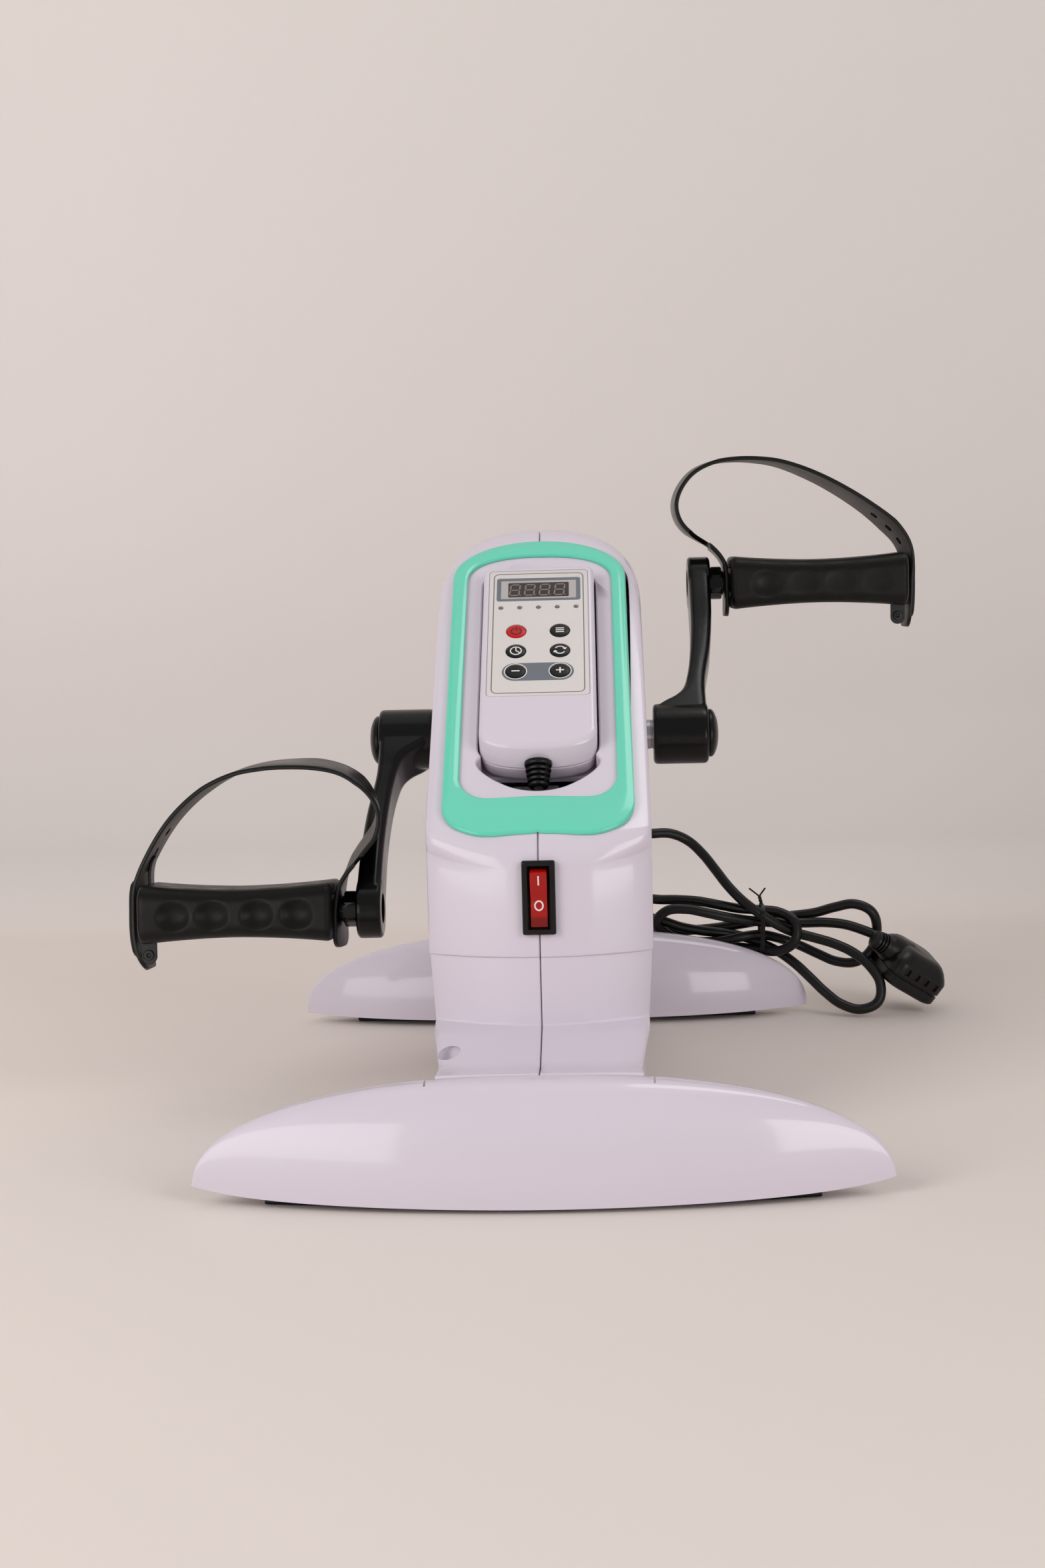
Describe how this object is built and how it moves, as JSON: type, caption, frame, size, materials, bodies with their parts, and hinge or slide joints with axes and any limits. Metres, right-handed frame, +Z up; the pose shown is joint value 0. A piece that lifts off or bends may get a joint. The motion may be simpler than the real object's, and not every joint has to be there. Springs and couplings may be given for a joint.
{
  "type": "mini exercise bike",
  "caption": "Motorised mini exercise bike: narrow tower on two crescent feet, crank with strapped foam pedals, wired handset in a sloping console, rocker switch and coiled mains lead.",
  "frame": {"origin": "on the floor, below the middle of the object's bounding box without the mains lead; the body's seam lies in the plane X = 0", "axes": "+Z up, +X to the right of a person facing the console, +Y away from the person, so the console and switch face -Y; the crank turns about X"},
  "size_m": [0.4269, 0.3952, 0.3188],
  "materials": {
    "lilac_shell": "glossy lavender ABS, fine moulded surface",
    "mint_ring": "glossy mint green plastic",
    "black_plastic": "black moulded plastic, satin",
    "black_gloss": "smooth black plastic",
    "crank_black": "black semi-gloss powder coat on steel",
    "bright_steel": "bright turned or zinc plated steel",
    "frame_steel": "dark painted sheet steel",
    "foam": "soft black EVA foam, fine pores",
    "rubber_pad": "black ribbed rubber",
    "strap_pvc": "smooth black PVC strap",
    "cord_pvc": "black PVC sheath and moulding",
    "label_film": "pale grey printed film, fine grain",
    "display_window": "dark smoked window",
    "red_button": "red plastic",
    "button_grey": "dark grey plastic",
    "rocker_red": "translucent red plastic",
    "nylon": "natural nylon",
    "circuit_board": "green glass fibre board with parts",
    "copper_winding": "copper winding in a laminated core"
  },
  "bodies": {
    "base": {"left_body_shell": "lilac_shell", "right_body_shell": "lilac_shell", "front_foot_cover": "lilac_shell", "rear_foot_cover": "lilac_shell", "front_foot_bar": "frame_steel", "rear_foot_bar": "frame_steel", "base_rail": "frame_steel", "left_side_plate": "frame_steel", "right_side_plate": "frame_steel", "bearing_left": "bright_steel", "bearing_right": "bright_steel", "gear_motor": "bright_steel", "power_transformer": "copper_winding", "control_board": "circuit_board", "front_pad_left": "rubber_pad", "front_pad_right": "rubber_pad", "rear_pad_left": "rubber_pad", "rear_pad_right": "rubber_pad", "console_ring": "mint_ring", "console_tray": "lilac_shell", "switch_bezel": "black_plastic", "cable_gland": "cord_pvc", "shell_screw_front": "bright_steel", "shell_screw_rear": "bright_steel", "shell_screw_top": "bright_steel", "mains_cord": "cord_pvc", "cord_hank": "cord_pvc", "cord_tie": "cord_pvc", "mains_plug": "cord_pvc"},
    "crank": {"crankshaft": "bright_steel", "crank_arm_left": "crank_black", "crank_arm_right": "crank_black", "crank_bolt_left": "bright_steel", "crank_bolt_right": "bright_steel", "crank_cap_left": "black_plastic", "crank_cap_right": "black_plastic", "drive_gear": "nylon", "pedal_spindle_left": "bright_steel", "pedal_spindle_right": "bright_steel"},
    "motor_output": {"motor_pinion": "nylon"},
    "pedal_left": {"pedal_core_left": "black_plastic", "pedal_grip_left": "foam", "pedal_strap_left": "strap_pvc"},
    "pedal_right": {"pedal_core_right": "black_plastic", "pedal_grip_right": "foam", "pedal_strap_right": "strap_pvc"},
    "rocker": {"switch_rocker": "rocker_red"},
    "handset": {"handset_front_shell": "lilac_shell", "handset_back_shell": "lilac_shell", "handset_label": "label_film", "led_display": "display_window", "handset_board": "circuit_board", "handset_strain_relief": "cord_pvc", "handset_lead": "cord_pvc"},
    "power_button": {"power_button": "red_button"},
    "mode_button": {"mode_button": "button_grey"},
    "time_button": {"time_button": "button_grey"},
    "direction_button": {"direction_button": "button_grey"},
    "minus_button": {"minus_button": "button_grey"},
    "plus_button": {"plus_button": "button_grey"}
  },
  "joints": [
    {"name": "crank_spin", "type": "hinge", "parent": "base", "child": "crank", "pos_m": [0, 0.0412, 0.1758], "axis": [1, 0, 0], "continuous": true},
    {"name": "pinion_spin", "type": "hinge", "parent": "base", "child": "motor_output", "pos_m": [0, 0.0074, 0.15045], "axis": [1, 0, 0], "continuous": true},
    {"name": "pedal_left_spin", "type": "hinge", "parent": "crank", "child": "pedal_left", "pos_m": [-0.15, -0.0298, 0.1], "axis": [1, 0, 0], "continuous": true, "deforming": ["pedal_strap_left"]},
    {"name": "pedal_right_spin", "type": "hinge", "parent": "crank", "child": "pedal_right", "pos_m": [0.15, 0.1122, 0.2516], "axis": [1, 0, 0], "continuous": true, "deforming": ["pedal_strap_right"]},
    {"name": "switch_rock", "type": "hinge", "parent": "base", "child": "rocker", "pos_m": [0, -0.1138, 0.1179], "axis": [1, 0, 0], "range_deg": [-18, 0]},
    {"name": "handset_lift", "type": "slide", "parent": "base", "child": "handset", "axis": [0, -0.6428, 0.766], "range_m": [0, 0.025]},
    {"name": "power_button_press", "type": "slide", "parent": "handset", "child": "power_button", "axis": [0, 0.6428, -0.766], "range_m": [0, 0.0005], "stiffness_N_per_m": 400},
    {"name": "mode_button_press", "type": "slide", "parent": "handset", "child": "mode_button", "axis": [0, 0.6428, -0.766], "range_m": [0, 0.0005], "stiffness_N_per_m": 400},
    {"name": "time_button_press", "type": "slide", "parent": "handset", "child": "time_button", "axis": [0, 0.6428, -0.766], "range_m": [0, 0.0005], "stiffness_N_per_m": 400},
    {"name": "direction_button_press", "type": "slide", "parent": "handset", "child": "direction_button", "axis": [0, 0.6428, -0.766], "range_m": [0, 0.0005], "stiffness_N_per_m": 400},
    {"name": "minus_button_press", "type": "slide", "parent": "handset", "child": "minus_button", "axis": [0, 0.6428, -0.766], "range_m": [0, 0.0005], "stiffness_N_per_m": 400},
    {"name": "plus_button_press", "type": "slide", "parent": "handset", "child": "plus_button", "axis": [0, 0.6428, -0.766], "range_m": [0, 0.0005], "stiffness_N_per_m": 400}
  ],
  "couplings": [
    {"joint": "pinion_spin", "follows": "crank_spin", "ratio": -4}
  ]
}
